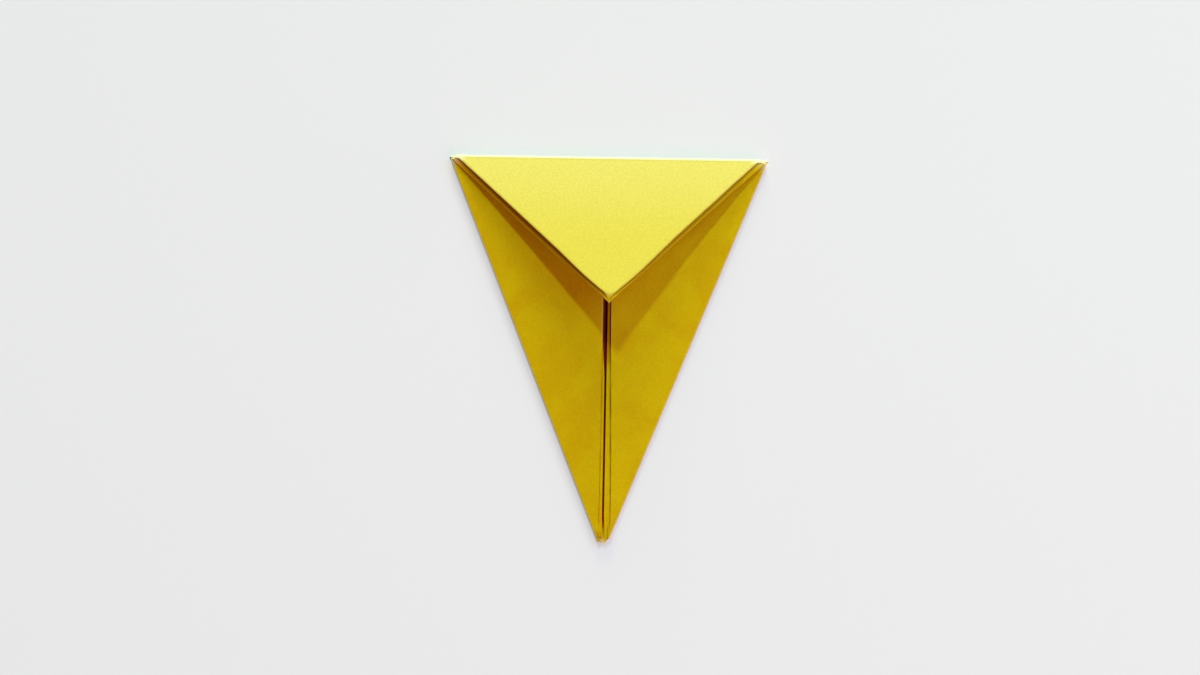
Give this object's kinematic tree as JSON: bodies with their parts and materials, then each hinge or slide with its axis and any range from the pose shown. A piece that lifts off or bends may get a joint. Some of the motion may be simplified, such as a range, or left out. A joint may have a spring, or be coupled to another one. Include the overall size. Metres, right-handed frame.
{
  "type": "folded paper origami base",
  "caption": "Yellow paper folded to a narrow kite-sided base, with its closed corner folded down over the front and standing up as a triangle.",
  "frame": {"origin": "middle of the underside, half way along the length", "axes": "+Y from the open tips to the top crease, +Z from the underside to the folded-down triangle, +X to the right seen from above"},
  "size_m": [0.062, 0.075, 0.0161],
  "materials": {
    "paper": "smooth yellow paper, the same on both sides, a little satin"
  },
  "bodies": {
    "root": {"folded_sheet": "paper"}
  },
  "joints": []
}
